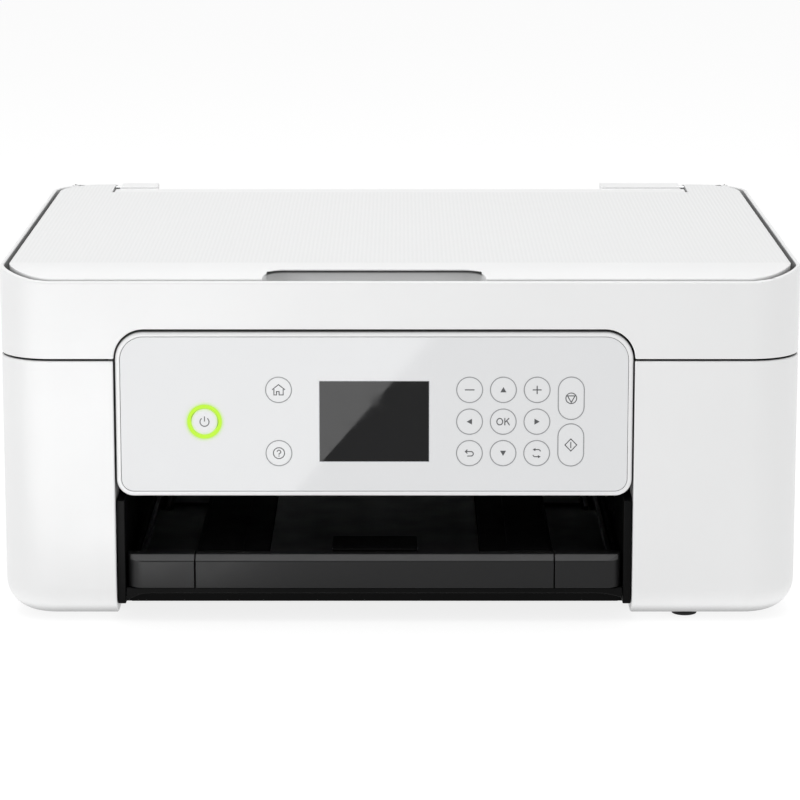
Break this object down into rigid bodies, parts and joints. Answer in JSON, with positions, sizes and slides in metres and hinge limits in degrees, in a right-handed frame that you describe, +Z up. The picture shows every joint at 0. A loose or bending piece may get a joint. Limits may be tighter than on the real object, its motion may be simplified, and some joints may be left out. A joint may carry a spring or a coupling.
{
  "type": "inkjet printer",
  "caption": "Compact flatbed inkjet printer with scanner lid, tilting control panel with keys and display, front paper cassette and sliding output tray.",
  "frame": {"origin": "centre of the casing's footprint on the surface it stands on", "axes": "+X to the right seen from the front, +Y to the back, +Z up"},
  "size_m": [0.375, 0.3, 0.1684],
  "materials": {
    "white_casing": "fine satin moulded white",
    "fascia": "glossy pale grey-blue",
    "key_caps": "glossy pale grey",
    "display_glass": "polished black window",
    "light_ring": "glowing lime diffuser",
    "black_plastic": "matte black",
    "dark_tray": "fine-textured charcoal",
    "grey_plastic": "matte grey",
    "rubber": "matte",
    "steel": "plated sheet and ground rod",
    "motor_can": "plated can",
    "brass": "machined",
    "clear_glass": "clear polished",
    "foam": "white backed foam",
    "felt": "dense felt",
    "circuit_board": "solder mask",
    "cartridge_case": "satin"
  },
  "bodies": {
    "lower_body": {"base_pan": "black_plastic", "left_side_cover": "white_casing", "right_side_cover": "white_casing", "rear_panel": "white_casing", "case_screws": "steel", "rubber_feet": "rubber", "inner_frame": "black_plastic", "chassis": "steel", "carriage_rod": "steel", "carriage_belt": "rubber", "carriage_motor": "motor_can", "feed_motor": "motor_can", "paper_platen": "black_plastic", "maintenance_station": "black_plastic", "waste_ink_pad": "felt", "mainboard": "circuit_board", "power_supply": "black_plastic", "power_inlet": "black_plastic", "usb_port": "steel"},
    "scanner_unit": {"scanner_case": "white_casing", "scanner_base": "grey_plastic", "scan_glass": "clear_glass", "scan_rod": "steel", "stay_arm": "black_plastic"},
    "lid": {"lid_cover": "white_casing", "document_mat": "foam", "lid_hinge_pins": "steel"},
    "image_sensor": {"sensor_carriage": "grey_plastic"},
    "control_panel": {"panel_housing": "white_casing", "panel_fascia": "fascia", "display": "display_glass", "panel_board": "circuit_board", "power_ring": "light_ring"},
    "cassette": {"paper_cassette": "dark_tray"},
    "left_guide": {"edge_guide_left": "dark_tray"},
    "right_guide": {"edge_guide_right": "dark_tray"},
    "tray": {"output_tray": "dark_tray"},
    "extension": {"tray_extension": "dark_tray"},
    "paper_stop": {"tray_stopper": "dark_tray"},
    "carriage": {"print_carriage": "black_plastic", "ink_cartridges": "cartridge_case"},
    "pulley": {"belt_pulley": "brass"},
    "feed_shaft": {"feed_roller": "rubber"},
    "eject_shaft": {"eject_roller": "rubber"},
    "pinion": {"motor_pinion": "brass"},
    "back_cover": {"rear_cover": "white_casing"},
    "minus_key": {"minus_button": "key_caps"},
    "up_key": {"up_button": "key_caps"},
    "plus_key": {"plus_button": "key_caps"},
    "left_key": {"left_button": "key_caps"},
    "ok_key": {"ok_button": "key_caps"},
    "right_key": {"right_button": "key_caps"},
    "back_key": {"back_button": "key_caps"},
    "down_key": {"down_button": "key_caps"},
    "turn_key": {"turn_button": "key_caps"},
    "home_key": {"home_button": "key_caps"},
    "help_key": {"help_button": "key_caps"},
    "power_key": {"power_button": "key_caps"},
    "stop_key": {"stop_button": "key_caps"},
    "start_key": {"start_button": "key_caps"}
  },
  "joints": [
    {"name": "main_hinge", "type": "hinge", "parent": "lower_body", "child": "scanner_unit", "pos_m": [0, 0.146, 0.126], "axis": [-1, 0, 0], "range_deg": [0, 30]},
    {"name": "lid_hinge", "type": "hinge", "parent": "scanner_unit", "child": "lid", "pos_m": [0, 0.145, 0.166], "axis": [-1, 0, 0], "range_deg": [0, 80]},
    {"name": "image_sensor_slide", "type": "slide", "parent": "scanner_unit", "child": "image_sensor", "axis": [1, 0, 0], "range_m": [0, 0.29]},
    {"name": "panel_tilt", "type": "hinge", "parent": "lower_body", "child": "control_panel", "pos_m": [0, -0.1482, 0.1377], "axis": [-1, 0, 0], "range_deg": [0, 35]},
    {"name": "cassette_slide", "type": "slide", "parent": "lower_body", "child": "cassette", "axis": [0, -1, 0], "range_m": [0, 0.2]},
    {"name": "edge_guide_left_slide", "type": "slide", "parent": "cassette", "child": "left_guide", "axis": [1, 0, 0], "range_m": [0, 0.055]},
    {"name": "edge_guide_right_slide", "type": "slide", "parent": "cassette", "child": "right_guide", "axis": [1, 0, 0], "range_m": [-0.055, 0]},
    {"name": "output_tray_slide", "type": "slide", "parent": "cassette", "child": "tray", "axis": [0, -1, 0], "range_m": [0, 0.115]},
    {"name": "extension_slide", "type": "slide", "parent": "tray", "child": "extension", "axis": [0, -1, 0], "range_m": [0, 0.09]},
    {"name": "paper_stop_flip", "type": "hinge", "parent": "extension", "child": "paper_stop", "pos_m": [0, -0.1387, 0.0327], "axis": [1, 0, 0], "range_deg": [0, 80]},
    {"name": "carriage_slide", "type": "slide", "parent": "lower_body", "child": "carriage", "axis": [-1, 0, 0], "range_m": [0, 0.222]},
    {"name": "belt_pulley_spin", "type": "hinge", "parent": "lower_body", "child": "pulley", "pos_m": [0.136, 0.055, 0.108], "axis": [0, 1, 0], "range_deg": [0, 2560]},
    {"name": "feed_roller_spin", "type": "hinge", "parent": "lower_body", "child": "feed_shaft", "pos_m": [0, 0.012, 0.058], "axis": [1, 0, 0], "continuous": true},
    {"name": "eject_roller_spin", "type": "hinge", "parent": "lower_body", "child": "eject_shaft", "pos_m": [0, -0.062, 0.058], "axis": [1, 0, 0], "continuous": true},
    {"name": "motor_pinion_spin", "type": "hinge", "parent": "lower_body", "child": "pinion", "pos_m": [0, -0.025, 0.058], "axis": [1, 0, 0], "continuous": true},
    {"name": "back_cover_pull", "type": "slide", "parent": "lower_body", "child": "back_cover", "axis": [0, 1, 0], "range_m": [0, 0.06]},
    {"name": "press_minus", "type": "slide", "parent": "control_panel", "child": "minus_key", "axis": [0, 1, 0], "range_m": [0, 0.0008], "stiffness_N_per_m": 600, "springref_m": -0.0008},
    {"name": "press_up", "type": "slide", "parent": "control_panel", "child": "up_key", "axis": [0, 1, 0], "range_m": [0, 0.0008], "stiffness_N_per_m": 600, "springref_m": -0.0008},
    {"name": "press_plus", "type": "slide", "parent": "control_panel", "child": "plus_key", "axis": [0, 1, 0], "range_m": [0, 0.0008], "stiffness_N_per_m": 600, "springref_m": -0.0008},
    {"name": "press_left", "type": "slide", "parent": "control_panel", "child": "left_key", "axis": [0, 1, 0], "range_m": [0, 0.0008], "stiffness_N_per_m": 600, "springref_m": -0.0008},
    {"name": "press_ok", "type": "slide", "parent": "control_panel", "child": "ok_key", "axis": [0, 1, 0], "range_m": [0, 0.0008], "stiffness_N_per_m": 600, "springref_m": -0.0008},
    {"name": "press_right", "type": "slide", "parent": "control_panel", "child": "right_key", "axis": [0, 1, 0], "range_m": [0, 0.0008], "stiffness_N_per_m": 600, "springref_m": -0.0008},
    {"name": "press_back", "type": "slide", "parent": "control_panel", "child": "back_key", "axis": [0, 1, 0], "range_m": [0, 0.0008], "stiffness_N_per_m": 600, "springref_m": -0.0008},
    {"name": "press_down", "type": "slide", "parent": "control_panel", "child": "down_key", "axis": [0, 1, 0], "range_m": [0, 0.0008], "stiffness_N_per_m": 600, "springref_m": -0.0008},
    {"name": "press_turn", "type": "slide", "parent": "control_panel", "child": "turn_key", "axis": [0, 1, 0], "range_m": [0, 0.0008], "stiffness_N_per_m": 600, "springref_m": -0.0008},
    {"name": "press_home", "type": "slide", "parent": "control_panel", "child": "home_key", "axis": [0, 1, 0], "range_m": [0, 0.0008], "stiffness_N_per_m": 600, "springref_m": -0.0008},
    {"name": "press_help", "type": "slide", "parent": "control_panel", "child": "help_key", "axis": [0, 1, 0], "range_m": [0, 0.0008], "stiffness_N_per_m": 600, "springref_m": -0.0008},
    {"name": "press_power", "type": "slide", "parent": "control_panel", "child": "power_key", "axis": [0, 1, 0], "range_m": [0, 0.0008], "stiffness_N_per_m": 600, "springref_m": -0.0008},
    {"name": "press_stop", "type": "slide", "parent": "control_panel", "child": "stop_key", "axis": [0, 1, 0], "range_m": [0, 0.0008], "stiffness_N_per_m": 600, "springref_m": -0.0008},
    {"name": "press_start", "type": "slide", "parent": "control_panel", "child": "start_key", "axis": [0, 1, 0], "range_m": [0, 0.0008], "stiffness_N_per_m": 600, "springref_m": -0.0008}
  ],
  "couplings": [
    {"joint": "edge_guide_right_slide", "follows": "edge_guide_left_slide", "ratio": -1},
    {"joint": "belt_pulley_spin", "follows": "carriage_slide", "rad_per_m": 200},
    {"joint": "eject_roller_spin", "follows": "feed_roller_spin", "ratio": 1},
    {"joint": "motor_pinion_spin", "follows": "feed_roller_spin", "ratio": -3.1111}
  ]
}
